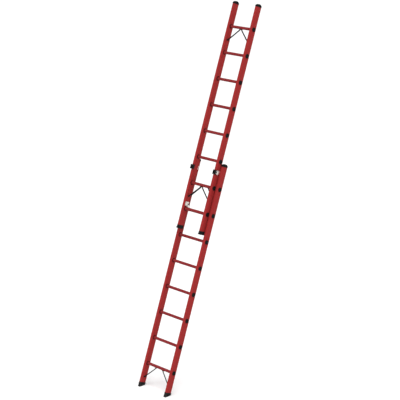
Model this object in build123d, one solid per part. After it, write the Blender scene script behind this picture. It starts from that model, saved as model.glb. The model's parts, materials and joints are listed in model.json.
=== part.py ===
from build123d import *
import os
from math import atan2, degrees, hypot, radians, tan

# Two-section push-up ladder in red glass-fibre profiles. The row frame has its origin on the
# floor between the two feet: +X across the rungs, +Y from the climber to the wall, +Z up.
# Every piece is built in the ladder's own upright frame, where Z runs along the stiles, and
# the whole ladder is leaned back once, when the pieces are written.

# ---- whole ladder ----
LEAN = 20.0             # angle between the ladder and the vertical, degrees
RUNGS = 8               # rungs in each section
SHARED_RUNGS = 2        # rung levels that both sections share at full reach
PITCH = 280.0           # rung to rung
FIRST_RUNG = 248.0      # floor to the lowest rung, along the stiles
BASE_WIDTH = 420.0      # over the outer faces of the base section
SIDE_GAP = 6.0          # between the two sections, each side
RUNG_PASS_GAP = 2.5     # between the fly's back edge and a base rung

# ---- stiles: hollow rectangular profiles ----
STILE_X = 29.0
STILE_Y = 70.0
STILE_WALL = 3.2
STILE_EDGE = 4.5        # outer edge radius
STILE_ABOVE = 250.0     # stile above the top rung, both sections
BASE_BELOW = 224.0      # base stile below its lowest rung
FLY_BELOW = 192.0       # fly stile below its lowest rung

# ---- rungs: fluted tubes through both stiles ----
RUNG_R = 15.25
RUNG_WALL = 2.6
FLUTES = 20
FLUTE_R = 0.9
RUNG_FIT = 0.10         # rung in its holes and collars, on the radius
COLLAR_R = 24.0
COLLAR_T = 3.0
COLLAR_BEVEL = 1.2
PLUG_R = 23.5
PLUG_T = 4.5
PLUG_ROUND = 1.6
SPIGOT = 14.0           # length of the plug inside the rung
SPIGOT_FIT = 0.10

# ---- caps and feet ----
CAP_WALL = 2.0          # how far a cap stands proud of the stile
CAP_RISE = 19.0
CAP_CROWN = 48.0        # radius of a top cap's crown, front to back
CAP_ROUND = 3.5         # rounding of its upper edge
CAP_SKIRT = 12.0        # how far a cap reaches down over the stile
FLY_CAP_DROP = 26.0     # fly bottom cap below the stile's end
FLY_CAP_LIP = 6.0       # its lip, towards the climber
FLY_CAP_LIP_Z = 10.0    # the lip's height
FLY_CAP_EDGE = 2.5      # rounding of the cap's lower edges and lip
SHOE_WALL = 1.8
SHOE_SKIRT = 15.0
TREAD_DEPTH = 3.0
TREADS = 5
CAP_FIT = 0.15

# ---- struts under some rungs ----
STRUT_R = 6.5
LOW_STRUT_R = 5.2       # the thinner struts under the lowest rung
STRUT_DROP = 147.0      # rung to the strut's foot plate, along the stiles
FOOT_PLATE = (3.0, 32.0, 14.0)
FOOT_PLATE_ROUND = 3.0
TAB = (23.0, 14.0, 4.0)  # flattened end of a strut
TAB_END = 7.0           # tab beyond its bolt, towards the ladder's middle
TAB_ROUND = 5.0
SADDLE = (14.0, 14.0)   # seat between the tab and the round rung, along and across it
SADDLE_T = 2.5          # its thickness under the rung
SADDLE_WRAP = 2.5       # how far it reaches up round the rung
SADDLE_ROUND = 2.0
STRUT_BOLT_R = 2.5
BOLT_HEAD_R = 4.5
BOLT_HEAD_T = 2.5
BOLT_ROOM = 2.0         # from the bolt's head to where the round bar starts
NUT_LIFT = 1.1          # the nut's rim rests on the curve of the rung's bore
WIDE_BOLT = 50.0        # strut bolts under the base's rungs, from the middle
NEAR_BOLT = 8.0         # strut bolts under the fly's rungs, from the middle

# ---- guides at the top of the base section ----
GUIDE_ABOVE = 165.0     # above the base's top rung
STRAP_T = 2.5
STRAP_Z = 42.0
STRAP_ROUND = 8.0       # its two rear corners
STRAP_BACK = 20.0       # behind the base stile's middle
STRAP_REACH = 6.5       # beyond the fly's front edge
BLOCK_Z = 47.0
BLOCK_ROUND = 3.5
BLOCK_FRONT = 12.0      # beyond the fly's front edge
BLOCK_LEG = 8.0         # along the fly's side faces
BLOCK_OUT = 4.5         # outside the strap
BLOCK_IN = 4.4          # inner leg's thickness
SLIDE_FIT = 0.6         # block to the sliding stile
SCREW_BACK = 1.5        # block screws behind the middle of the strap's free end
SCREW_END = 1.5         # screw beyond the strap, inside the block
SCREW_HEAD_T = 2.2
SCREW_ROUND = 1.2

# ---- hooks on the fly section ----
HOOK_PLATE = (2.5, 52.0, 46.0)
HOOK_PLATE_ROUND = 6.0
HOOK_RIVETS = ((-19.8, -13.8), (-19.8, 15.6), (17.7, 16.6))    # from the plate's middle
HOOK_PLATE_UP = 51.0    # the plate's middle above the fly's lowest rung
HOOK_PLATE_BACK = 0.0   # the plate's middle behind the fly's mid-plane
PIVOT_UP = 38.0
PIVOT_BACK = 5.75
HOOK_T = 6.0
HOOK_BOSS_R = 13.0
HOOK_RIM = 7.0          # metal round the hook's mouth
HOOK_SEAT = 0.4         # hook to the base rung
HOOK_FACE_GAP = 0.4     # hook to its plate
COLLAR_CLEAR = 3.0      # hook to the fly's lowest collar
PIN_R = 4.0
PIN_FIT = 0.06
PIN_HEAD_R = 7.5
PIN_HEAD_T = 3.5
PIN_ROUND = 1.5
PIN_TAIL_R = 6.8        # the set tail inside the stile
PIN_TAIL_T = 4.0
PIN_END = 5.0           # pin beyond the stile's inner wall
GRIP = (9.0, 16.0, 11.0)
GRIP_ROUND = 3.0
GRIP_BACK = 14.0        # the grip's middle behind the pivot
GRIP_UP = 10.0          # and above it
RIVET_R = 2.4
RIVET_HEAD_R = 4.6
RIVET_HEAD_T = 1.4
RIVET_ROUND = 0.98      # rounding of a head's rim
RIVET_FIT = 0.08
RIVET_GRIP = 7.0        # rivet length beyond the piece it holds
FLUSH_TAIL_R = 3.8      # flush rivets: the set tail inside the stile
FLUSH_TAIL_T = 2.0
CUT = 60.0              # size of the shapes that only cut: more than any piece they trim

# ---- worked out from the values above ----
SECTION_STEP = STILE_Y / 2 + RUNG_R + RUNG_PASS_GAP
FLY_WIDTH = BASE_WIDTH - 2 * STILE_X - 2 * SIDE_GAP
FLY_RAISE = (RUNGS - SHARED_RUNGS) * PITCH
BASE_Y = 0.0
FLY_Y = -SECTION_STEP
FLY_FIRST = FIRST_RUNG + FLY_RAISE
SECTION_RUNGS = (RUNGS - 1) * PITCH
FLY_FRONT = FLY_Y - STILE_Y / 2
GUIDE_Z = FIRST_RUNG + SECTION_RUNGS + GUIDE_ABOVE
BASE_INNER = BASE_WIDTH / 2 - STILE_X
FLY_INNER = FLY_WIDTH / 2 - STILE_X
LEANED = Rot(-LEAN, 0, 0)


def rod(radius, start, end):
    """A round bar between two points."""
    run = Vector(*end) - Vector(*start)
    plane = Plane(origin=start, z_dir=run)
    return plane * Cylinder(radius, run.length, align=(Align.CENTER, Align.CENTER, Align.MIN))


def disc_x(radius, thick, x, y, z):
    """A disc whose axis is X, starting at x and reaching thick towards +X (or -X if negative)."""
    return rod(radius, (x, y, z), (x + thick, y, z))


def mirrored(shape):
    """The left-hand twin of a right-hand piece."""
    return mirror(shape, about=Plane.YZ)


def profile(grow, length, bottom):
    """The stile's outline, grown outwards, as a solid bar along Z."""
    radius = max(STILE_EDGE + grow, 1.0)
    outline = RectangleRounded(STILE_X + 2 * grow, STILE_Y + 2 * grow, radius)
    return Pos(0, 0, bottom) * extrude(outline, length)


# ---------------------------------------------------------------- sections
def stile(width, mid_y, first, below):
    """One right-hand stile, hollow, with a pair of holes for every rung."""
    length = below + SECTION_RUNGS + STILE_ABOVE
    bar = profile(0, length, first - below)
    bar -= profile(-STILE_WALL, length, first - below)
    for level in range(RUNGS):
        bar -= disc_x(RUNG_R + RUNG_FIT, 2 * STILE_X, -STILE_X, 0, first + level * PITCH)
    return Pos(width / 2 - STILE_X / 2, mid_y, 0) * bar


def rung(width):
    """A fluted tube along X, as long as the section is wide."""
    ring = Circle(RUNG_R) - Circle(RUNG_R - RUNG_WALL)
    ring -= PolarLocations(RUNG_R + FLUTE_R / 2, FLUTES) * Circle(FLUTE_R)
    return Plane.YZ * Pos(0, 0, -width / 2) * extrude(ring, width)


def collars(width, mid_y, first):
    """Thin rings round the rungs on the stiles' inner faces."""
    inner = width / 2 - STILE_X
    rings = []
    for level in range(RUNGS):
        height = first + level * PITCH
        ring = disc_x(COLLAR_R, -COLLAR_T, inner, mid_y, height)
        ring = chamfer(ring.edges().filter_by(GeomType.CIRCLE).sort_by(Axis.X)[0], COLLAR_BEVEL)
        ring -= disc_x(RUNG_R + RUNG_FIT, -2 * COLLAR_T, inner + COLLAR_T / 2, mid_y, height)
        rings += [ring, mirrored(ring)]
    return Compound(children=rings)


def plugs(width, mid_y, first):
    """Plugs that close the rungs on the stiles' outer faces."""
    outer = width / 2
    caps = []
    for level in range(RUNGS):
        height = first + level * PITCH
        cap = disc_x(PLUG_R, PLUG_T, outer, mid_y, height)
        cap = fillet(cap.edges().filter_by(GeomType.CIRCLE).sort_by(Axis.X)[-1], PLUG_ROUND)
        cap += disc_x(RUNG_R - RUNG_WALL - SPIGOT_FIT, -SPIGOT, outer, mid_y, height)
        caps += [cap, mirrored(cap)]
    return Compound(children=caps)


def top_cap(width, mid_y, first):
    """A crowned cap whose skirt reaches over the stile and whose plug fills it."""
    top = first + SECTION_RUNGS + STILE_ABOVE
    dome = profile(CAP_WALL, CAP_RISE + CAP_SKIRT, top - CAP_SKIRT)
    crown = disc_x(CAP_CROWN, 2 * STILE_X, -STILE_X, 0, top + CAP_RISE - CAP_CROWN)
    dome &= crown
    upper = [edge for edge in dome.edges() if edge.center().Z > top]
    dome = fillet(upper, CAP_ROUND)
    dome -= profile(CAP_FIT, CAP_SKIRT, top - CAP_SKIRT)
    dome += profile(-STILE_WALL - CAP_FIT, CAP_SKIRT * 2, top - CAP_SKIRT * 2)
    return Pos(width / 2 - STILE_X / 2, mid_y, 0) * dome


def bottom_cap():
    """The fly's lower cap: a skirt, a plug and a block with a small lip in front."""
    end = FLY_FIRST - FLY_BELOW
    block = profile(CAP_WALL, CAP_SKIRT + FLY_CAP_DROP, end - FLY_CAP_DROP)
    block = fillet(block.faces().sort_by(Axis.Z)[0].edges(), FLY_CAP_EDGE)
    block -= profile(CAP_FIT, CAP_SKIRT, end)
    block += profile(-STILE_WALL - CAP_FIT, CAP_SKIRT * 2, end)
    lip_y = -STILE_Y / 2 - CAP_WALL
    lip = Box(STILE_X - CAP_WALL, 2 * FLY_CAP_LIP, FLY_CAP_LIP_Z)
    lip = fillet(lip.edges().filter_by(Axis.X), FLY_CAP_EDGE)
    block += Pos(0, lip_y, end - FLY_CAP_DROP * 0.6) * lip
    return Pos(FLY_WIDTH / 2 - STILE_X / 2, FLY_Y, 0) * block


def shoe():
    """A rubber foot: level sole with treads, and a skirt up over the stile."""
    end = FIRST_RUNG - BASE_BELOW
    depth = STILE_Y + 2 * SHOE_WALL
    slope = tan(radians(LEAN))
    foot = RectangleRounded(STILE_X + 2 * SHOE_WALL, depth, STILE_EDGE)
    drop = depth * slope
    foot = Pos(0, 0, -drop) * extrude(foot, end + SHOE_SKIRT + drop)
    below_floor = Rot(LEAN, 0, 0) * Pos(0, 0, -2 * depth) * Box(4 * depth, 4 * depth, 4 * depth)
    foot -= below_floor
    for index in range(TREADS - 1):
        across = (index + 1) / TREADS - 0.5
        groove = Pos(0, across * depth, 0) * Box(2 * depth, TREAD_DEPTH, 2 * TREAD_DEPTH)
        foot -= Rot(LEAN, 0, 0) * groove
    foot -= profile(CAP_FIT, SHOE_SKIRT, end)
    foot += profile(-STILE_WALL - CAP_FIT, SHOE_SKIRT, end)
    for y, z in shoe_rivet_places():
        foot -= disc_x(RIVET_R + RIVET_FIT, CUT, 0, y, z)
    return Pos(BASE_WIDTH / 2 - STILE_X / 2, BASE_Y, 0) * foot


# ---------------------------------------------------------------- fasteners
def rivet(x, y, z, inward):
    """A domed rivet through a stile's inner wall; its head faces the ladder's middle."""
    head = disc_x(RIVET_HEAD_R, -inward * RIVET_HEAD_T, x, y, z)
    rim = head.edges().filter_by(GeomType.CIRCLE).sort_by(Axis.X)[0 if inward > 0 else -1]
    head = fillet(rim, RIVET_ROUND)
    return head + disc_x(RIVET_R, inward * RIVET_GRIP, x, y, z)


def rivet_hole(x, y, z, inward):
    """The hole that such a rivet passes through."""
    return disc_x(RIVET_R + RIVET_FIT, inward * 4 * RIVET_GRIP, x - inward * RIVET_GRIP, y, z)


# ---------------------------------------------------------------- struts
def tab_top(height):
    """The upper face of a strut's tab, under the saddle."""
    return height - RUNG_R - SADDLE_T


def strut_saddle(x, mid_y, height):
    """A small seat that fits the rung above and is flat for the strut's tab below."""
    along, deep = SADDLE
    tall = SADDLE_T + SADDLE_WRAP
    seat = Pos(x, mid_y, tab_top(height) + tall / 2) * Box(along, deep, tall)
    seat = fillet(seat.edges().filter_by(Axis.Z), SADDLE_ROUND)
    seat -= disc_x(RUNG_R + RUNG_FIT, 2 * along, x - along, mid_y, height)
    return seat - strut_bolt_hole(x, mid_y, height)


def strut_bolt_hole(x, mid_y, height):
    """The hole for a strut's bolt, up through the tab, the saddle and the rung's lower wall."""
    return rod(STRUT_BOLT_R + RIVET_FIT, (x, mid_y, height - 2 * RUNG_R), (x, mid_y, height - RUNG_R / 2))


def strut_bolt(x, mid_y, height):
    """The bolt under a strut's tab, with its nut inside the rung."""
    under = tab_top(height) - TAB[2]
    inside = height - RUNG_R + RUNG_WALL
    nut_low, nut_high = inside + NUT_LIFT, inside + NUT_LIFT + BOLT_HEAD_T
    shank = rod(STRUT_BOLT_R, (x, mid_y, under), (x, mid_y, nut_high))
    head = rod(BOLT_HEAD_R, (x, mid_y, under - BOLT_HEAD_T), (x, mid_y, under))
    nut = rod(BOLT_HEAD_R, (x, mid_y, nut_low), (x, mid_y, nut_high))
    return shank + head + nut


def strut(inner, mid_y, height, spread, radius):
    """A right-hand strut: flattened tab under the rung, round bar, foot plate on the stile."""
    long, wide, thick = TAB
    top = tab_top(height)
    tab = Pos(spread - TAB_END + long / 2, mid_y, top - thick / 2) * Box(long, wide, thick)
    tab = fillet(tab.edges().filter_by(Axis.Z), TAB_ROUND)
    foot = (inner, mid_y, height - STRUT_DROP)
    bar = rod(radius, (spread, mid_y, top - thick / 2), foot)
    trim = Box(CUT, CUT, CUT)
    bar -= Pos(inner + CUT / 2, mid_y, foot[2]) * trim
    bar -= Pos(spread, mid_y, top + CUT / 2) * trim
    bar -= Pos(spread + BOLT_HEAD_R + BOLT_ROOM - CUT / 2, mid_y, top) * trim
    bar += tab
    bar -= strut_bolt_hole(spread, mid_y, height)
    plate_x, plate_y, plate_z = FOOT_PLATE
    plate = Pos(inner - plate_x / 2, mid_y, foot[2]) * Box(plate_x, plate_y, plate_z)
    bar += fillet(plate.edges().filter_by(Axis.X), FOOT_PLATE_ROUND)
    for y in strut_rivet_places(mid_y):
        bar -= rivet_hole(inner, y, foot[2], 1)
    return bar


def strut_rivet_places(mid_y):
    """How far back the two rivets of a foot plate sit, clear of the bar."""
    return [mid_y - FOOT_PLATE[1] / 3, mid_y + FOOT_PLATE[1] / 3]


def strut_fasteners(inner, mid_y, height, spread):
    """Both struts' bolts and foot rivets at one rung."""
    pieces = []
    for y in strut_rivet_places(mid_y):
        one = rivet(inner - FOOT_PLATE[0], y, height - STRUT_DROP, 1)
        pieces += [one, mirrored(one)]
    bolt = strut_bolt(spread, mid_y, height)
    return pieces + [bolt, mirrored(bolt)]


# ---------------------------------------------------------------- guides
def strap_rivet_places():
    """The strap's four fixings on the base stile, as (y, z)."""
    return [(y, GUIDE_Z + z) for y in (-STRAP_BACK / 2, STRAP_BACK / 2) for z in (-STRAP_Z / 4, STRAP_Z / 4)]


def guide_strap():
    """A metal strap from the base stile's inner face forwards along the fly's outer side."""
    front = FLY_FRONT - STRAP_REACH
    length = STRAP_BACK - front
    strap = Pos(BASE_INNER - STRAP_T / 2, (STRAP_BACK + front) / 2, GUIDE_Z) * Box(STRAP_T, length, STRAP_Z)
    strap = fillet(strap.edges().filter_by(Axis.X).sort_by(Axis.Y)[-2:], STRAP_ROUND)
    for y, z in strap_rivet_places():
        strap -= rivet_hole(BASE_INNER, y, z, 1)
    for z in block_screw_heights():
        strap -= disc_x(RIVET_R + RIVET_FIT, CUT, BASE_INNER - CUT / 2, block_screw_y(), z)
    return strap


def flush_rivets(inner, thick, places):
    """Rivets through a plate and a stile's inner wall, flush with the plate: nothing catches."""
    rivets = []
    for y, z in places:
        one = disc_x(RIVET_R, thick + RIVET_GRIP, inner - thick, y, z)
        one += disc_x(FLUSH_TAIL_R, FLUSH_TAIL_T, inner + STILE_WALL, y, z)
        rivets += [one, mirrored(one)]
    return Compound(children=rivets)


def block_screw_heights():
    """Heights of the two screws that hold a guide block."""
    return [GUIDE_Z - BLOCK_Z / 4, GUIDE_Z + BLOCK_Z / 4]


def block_screw_y():
    """How far forward those screws sit: inside the strap's end."""
    return FLY_FRONT - STRAP_REACH / 2 + SCREW_BACK


def guide_block():
    """A plastic block that wraps the fly stile's front edge and holds the strap's end."""
    outer = BASE_INNER + BLOCK_OUT
    inner = FLY_INNER - SLIDE_FIT - BLOCK_IN
    front = FLY_FRONT - BLOCK_FRONT
    back = FLY_FRONT + BLOCK_LEG
    block = Pos((outer + inner) / 2, (front + back) / 2, GUIDE_Z) * Box(outer - inner, back - front, BLOCK_Z)
    block = fillet(block.faces().sort_by(Axis.Y)[0].edges(), BLOCK_ROUND)
    channel = profile(SLIDE_FIT, 2 * BLOCK_Z, GUIDE_Z - BLOCK_Z)
    block -= Pos(FLY_WIDTH / 2 - STILE_X / 2, FLY_Y, 0) * channel
    slot_front = FLY_FRONT - STRAP_REACH
    slot = Box(STRAP_T, CUT, STRAP_Z, align=(Align.CENTER, Align.MIN, Align.CENTER))
    block -= Pos(BASE_INNER - STRAP_T / 2, slot_front, GUIDE_Z) * slot
    for z in block_screw_heights():
        block -= disc_x(RIVET_R + RIVET_FIT, CUT, BASE_INNER - STRAP_T - 2 * SCREW_END, block_screw_y(), z)
    return block


def block_screws():
    """Button-head screws through the blocks and the straps' ends."""
    screws = []
    outer = BASE_INNER + BLOCK_OUT
    for z in block_screw_heights():
        one = disc_x(RIVET_R, -(BLOCK_OUT + STRAP_T + SCREW_END), outer, block_screw_y(), z)
        head = disc_x(RIVET_HEAD_R, SCREW_HEAD_T, outer, block_screw_y(), z)
        head = fillet(head.edges().filter_by(GeomType.CIRCLE).sort_by(Axis.X)[-1], SCREW_ROUND)
        one += head
        screws += [one, mirrored(one)]
    return Compound(children=screws)


# ---------------------------------------------------------------- hooks
def hook_rivet_places():
    """Where the hook plate is riveted, as (y, z): three corners, clear of the hook's boss."""
    mid_y = FLY_Y + HOOK_PLATE_BACK
    mid_z = FLY_FIRST + HOOK_PLATE_UP
    return [(mid_y + y, mid_z + z) for y, z in HOOK_RIVETS]


def pivot_point():
    """The hook pivot's (y, z)."""
    return FLY_Y + PIVOT_BACK, FLY_FIRST + PIVOT_UP


def hook_plate():
    """The plate on the fly stile's inner face that carries the hook's pivot."""
    thick, wide, tall = HOOK_PLATE
    mid_y = FLY_Y + HOOK_PLATE_BACK
    plate = Pos(FLY_INNER - thick / 2, mid_y, FLY_FIRST + HOOK_PLATE_UP) * Box(thick, wide, tall)
    plate = fillet(plate.edges().filter_by(Axis.X), HOOK_PLATE_ROUND)
    for y, z in hook_rivet_places():
        plate -= rivet_hole(FLY_INNER, y, z, 1)
    y, z = pivot_point()
    return plate - disc_x(PIN_R + PIN_FIT, CUT, FLY_INNER - CUT / 2, y, z)


def hook_pin():
    """The pivot: a shoulder pin with a head, through hook, plate and the stile's wall."""
    y, z = pivot_point()
    hook_face = FLY_INNER - HOOK_PLATE[0] - 2 * HOOK_FACE_GAP - HOOK_T
    pin = rod(PIN_R, (hook_face, y, z), (FLY_INNER + STILE_WALL + PIN_END, y, z))
    pin += disc_x(PIN_TAIL_R, PIN_TAIL_T, FLY_INNER + STILE_WALL, y, z)
    head = disc_x(PIN_HEAD_R, -PIN_HEAD_T, hook_face, y, z)
    return pin + fillet(head.edges().filter_by(GeomType.CIRCLE).sort_by(Axis.X)[0], PIN_ROUND)


def hook():
    """A swinging hook: boss at the pivot, and a mouth that sits over a base rung."""
    y, z = pivot_point()
    rung_y, rung_z = BASE_Y, FLY_FIRST
    mouth = RUNG_R + HOOK_SEAT
    arm = hypot(rung_y - y, rung_z - z)
    arm_angle = degrees(atan2(rung_z - z, rung_y - y))
    boss = Pos(y, z) * Circle(HOOK_BOSS_R)
    eye = Pos(rung_y, rung_z) * Circle(mouth + HOOK_RIM)
    outline = make_hull(boss.edges() + eye.edges())
    # The opening is an arc about the pivot: the way the rung leaves when the hook lifts.
    channel = Circle(arm + mouth) - Circle(arm - mouth)
    below_arm = Rot(0, 0, arm_angle) * Rectangle(2 * arm, 2 * arm, align=(Align.MIN, Align.MAX))
    outline -= Pos(y, z) * (channel & below_arm)
    outline -= Pos(rung_y, rung_z) * Circle(mouth)
    outline -= Pos(FLY_Y, FLY_FIRST) * Circle(COLLAR_R + COLLAR_CLEAR)
    outline = outline.faces().sort_by(SortBy.AREA)[-1]
    start = FLY_INNER - HOOK_PLATE[0] - HOOK_FACE_GAP - HOOK_T
    body = Plane.YZ.offset(start) * extrude(outline, HOOK_T)
    body -= disc_x(PIN_R + PIN_FIT, CUT, start - CUT / 2, y, z)
    return body


def grip_place():
    """The middle of the thumb grip, on the hook's upper edge."""
    y, z = pivot_point()
    x = FLY_INNER - HOOK_PLATE[0] - HOOK_FACE_GAP - GRIP[0] / 2
    return (x, y + GRIP_BACK, z + GRIP_UP)


def hook_grip():
    """A plastic thumb grip pushed onto the hook's upper edge."""
    grip = Pos(grip_place()) * Box(*GRIP)
    return fillet(grip.edges().filter_by(Axis.X), GRIP_ROUND) - hook()


# ---------------------------------------------------------------- the whole ladder
def shoe_rivet_places():
    """A shoe's two fixings, as (y, z)."""
    height = FIRST_RUNG - BASE_BELOW + SHOE_SKIRT / 2
    return [(-STILE_Y / 4, height), (STILE_Y / 4, height)]


def shoe_rivets():
    """Rivets through the shoes' skirts on the stiles' outer faces."""
    pieces = []
    outer = BASE_WIDTH / 2 + SHOE_WALL
    for y, z in shoe_rivet_places():
        one = disc_x(RIVET_R, -RIVET_GRIP, outer, y, z)
        head = disc_x(RIVET_HEAD_R, RIVET_HEAD_T, outer, y, z)
        one += fillet(head.edges().filter_by(GeomType.CIRCLE).sort_by(Axis.X)[-1], RIVET_ROUND)
        pieces += [one, mirrored(one)]
    return Compound(children=pieces)


def section(shapes, name, width, mid_y, first, below):
    """One section's stiles, rungs, collars and plugs."""
    shapes[name + "_stile_right"] = stile(width, mid_y, first, below)
    tube = rung(width)
    for level in range(RUNGS):
        shapes[f"{name}_rung_{level + 1}"] = Pos(0, mid_y, first + level * PITCH) * tube
    shapes[name + "_rung_collars"] = collars(width, mid_y, first)
    shapes[name + "_rung_plugs"] = plugs(width, mid_y, first)


def rung_height(owner, level):
    """The height of a section's rung, counted from 1."""
    first = FIRST_RUNG if owner == "base" else FLY_FIRST
    return first + (level - 1) * PITCH


def strut_sets():
    """Each pair of struts: name, section, inner face, mid-plane, rung, bolt's place, radius."""
    return [
        ("base_bottom_strut", "base", BASE_INNER, BASE_Y, 1, WIDE_BOLT, LOW_STRUT_R),
        ("base_top_strut", "base", BASE_INNER, BASE_Y, RUNGS, WIDE_BOLT, STRUT_R),
        ("fly_second_strut", "fly", FLY_INNER, FLY_Y, 2, NEAR_BOLT, STRUT_R),
        ("fly_top_strut", "fly", FLY_INNER, FLY_Y, RUNGS, NEAR_BOLT, STRUT_R),
    ]


def pair(shapes, name, shape):
    """Files a right-hand piece and its left-hand twin."""
    shapes[name + "_right"] = shape
    shapes[name + "_left"] = mirrored(shape)


def build():
    """Every node's shape by name, in the upright ladder frame."""
    shapes = {}
    section(shapes, "base", BASE_WIDTH, BASE_Y, FIRST_RUNG, BASE_BELOW)
    section(shapes, "fly", FLY_WIDTH, FLY_Y, FLY_FIRST, FLY_BELOW)
    pair(shapes, "base_top_cap", top_cap(BASE_WIDTH, BASE_Y, FIRST_RUNG))
    pair(shapes, "fly_top_cap", top_cap(FLY_WIDTH, FLY_Y, FLY_FIRST))
    pair(shapes, "fly_bottom_cap", bottom_cap())
    pair(shapes, "foot_shoe", shoe())
    shapes["foot_rivets"] = shoe_rivets()
    saddles = {"base": [], "fly": []}
    fasteners = {"base": [], "fly": []}
    for name, owner, inner, mid_y, level, spread, radius in strut_sets():
        height = rung_height(owner, level)
        pair(shapes, name, strut(inner, mid_y, height, spread, radius))
        saddle = strut_saddle(spread, mid_y, height)
        saddles[owner] += [saddle, mirrored(saddle)]
        fasteners[owner] += strut_fasteners(inner, mid_y, height, spread)
        hole = strut_bolt_hole(spread, mid_y, height)
        shapes[f"{owner}_rung_{level}"] -= hole + mirrored(hole)
    for owner in ("base", "fly"):
        shapes[owner + "_strut_saddles"] = Compound(children=saddles[owner])
        shapes[owner + "_strut_fasteners"] = Compound(children=fasteners[owner])
    pair(shapes, "guide_strap", guide_strap())
    pair(shapes, "guide_block", guide_block())
    shapes["guide_strap_rivets"] = flush_rivets(BASE_INNER, STRAP_T, strap_rivet_places())
    shapes["guide_block_screws"] = block_screws()
    pair(shapes, "hook_plate", hook_plate())
    pair(shapes, "hook", hook())
    pair(shapes, "hook_grip", hook_grip())
    shapes["hook_plate_rivets"] = flush_rivets(FLY_INNER, HOOK_PLATE[0], hook_rivet_places())
    pin = hook_pin()
    shapes["hook_pins"] = Compound(children=[pin, mirrored(pin)])
    drill_stiles(shapes)
    return shapes


def drill_stiles(shapes):
    """The fixings' holes in the stiles, at the same places as the fixings."""
    base, fly = shapes["base_stile_right"], shapes["fly_stile_right"]
    for _, owner, inner, mid_y, level, _, _ in strut_sets():
        for y in strut_rivet_places(mid_y):
            hole = wall_hole(inner, y, rung_height(owner, level) - STRUT_DROP)
            if owner == "base":
                base -= hole
            else:
                fly -= hole
    for y, z in strap_rivet_places():
        base -= wall_hole(BASE_INNER, y, z)
    for y, z in hook_rivet_places():
        fly -= wall_hole(FLY_INNER, y, z)
    y, z = pivot_point()
    fly -= disc_x(PIN_R + RIVET_FIT, 2 * STILE_WALL, FLY_INNER - STILE_WALL / 2, y, z)
    for y, z in shoe_rivet_places():
        base -= wall_hole(BASE_WIDTH / 2 - STILE_WALL, y, z)
    for name, shape in (("base", base), ("fly", fly)):
        shapes[name + "_stile_right"] = shape
        shapes[name + "_stile_left"] = mirrored(shape)


def wall_hole(x, y, z):
    """A fixing's hole through the stile wall that starts at x."""
    return disc_x(RIVET_R + RIVET_FIT, 2 * STILE_WALL, x - STILE_WALL / 2, y, z)


os.makedirs("parts", exist_ok=True)
for node, shape in build().items():
    export_step(LEANED * shape, f"parts/{node}.step")
    print(node, round(shape.volume))
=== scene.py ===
import json
from math import atan2, cos, degrees, pi, radians, sin

import bmesh
import bpy
from mathutils import Matrix, Vector


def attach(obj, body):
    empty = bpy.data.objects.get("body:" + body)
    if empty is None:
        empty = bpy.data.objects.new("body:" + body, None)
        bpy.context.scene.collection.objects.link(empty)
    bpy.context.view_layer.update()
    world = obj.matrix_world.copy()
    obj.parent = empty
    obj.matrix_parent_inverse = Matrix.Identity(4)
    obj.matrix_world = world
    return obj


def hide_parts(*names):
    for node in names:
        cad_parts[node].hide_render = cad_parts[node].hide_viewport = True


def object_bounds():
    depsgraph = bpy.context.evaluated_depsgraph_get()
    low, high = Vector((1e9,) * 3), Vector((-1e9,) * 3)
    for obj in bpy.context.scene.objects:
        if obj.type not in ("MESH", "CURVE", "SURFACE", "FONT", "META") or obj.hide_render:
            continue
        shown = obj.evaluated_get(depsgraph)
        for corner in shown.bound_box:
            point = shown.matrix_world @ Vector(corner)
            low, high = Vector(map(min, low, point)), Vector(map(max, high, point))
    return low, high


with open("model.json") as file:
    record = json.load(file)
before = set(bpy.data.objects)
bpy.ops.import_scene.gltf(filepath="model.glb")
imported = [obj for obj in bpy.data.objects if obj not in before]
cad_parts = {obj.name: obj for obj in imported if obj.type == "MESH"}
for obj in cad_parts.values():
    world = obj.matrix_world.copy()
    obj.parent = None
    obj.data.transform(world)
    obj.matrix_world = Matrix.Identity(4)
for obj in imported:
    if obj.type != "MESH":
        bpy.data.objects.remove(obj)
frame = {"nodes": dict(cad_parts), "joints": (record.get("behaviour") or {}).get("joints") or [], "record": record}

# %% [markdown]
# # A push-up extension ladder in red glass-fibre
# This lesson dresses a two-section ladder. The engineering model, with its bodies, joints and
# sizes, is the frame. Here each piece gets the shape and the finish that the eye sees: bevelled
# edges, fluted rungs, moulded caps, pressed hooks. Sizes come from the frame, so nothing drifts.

cad_low, cad_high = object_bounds()
record = frame["record"]
joints = {joint["name"]: joint for joint in frame["joints"]}
RUN = Vector(joints["fly_slide"]["axis"]).normalized()
LEAN = atan2(RUN.y, RUN.z)
UPRIGHT = Matrix.Rotation(LEAN, 4, "X")
LEANED = Matrix.Rotation(-LEAN, 4, "X")
MM = 0.001
SECTIONS = ("base", "fly")
SIDES = {"left": -1, "right": 1}
RUNGS = sum(name.startswith("base_rung_") and name[-1].isdigit() for name in frame["nodes"])
print("lean", round(degrees(LEAN), 2), "degrees;", RUNGS, "rungs in each section")

# %% [markdown]
# The ladder leans, and a leaning piece is awkward to model. So each piece is made upright, in
# the ladder's own frame where Z runs along the stiles, and is leaned once when it is finished.
# This helper reads a node's box in that upright frame.

# %% Boxes in the upright frame
def upright_box(node, right_only=False):
    """Lowest and highest corner of a node, or of its right half, in the upright frame."""
    points = [UPRIGHT @ vertex.co for vertex in frame["nodes"][node].data.vertices]
    if right_only:
        points = [p for p in points if p.x > 0]
    low = Vector([min(p[i] for p in points) for i in range(3)])
    high = Vector([max(p[i] for p in points) for i in range(3)])
    return low, high


stile_box = {(section, side): upright_box(f"{section}_stile_{side}")
             for section in SECTIONS for side in SIDES}
rung_box = {(section, level): upright_box(f"{section}_rung_{level}")
            for section in SECTIONS for level in range(1, RUNGS + 1)}


def middle(box):
    """The centre of a box."""
    return (box[0] + box[1]) / 2


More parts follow.
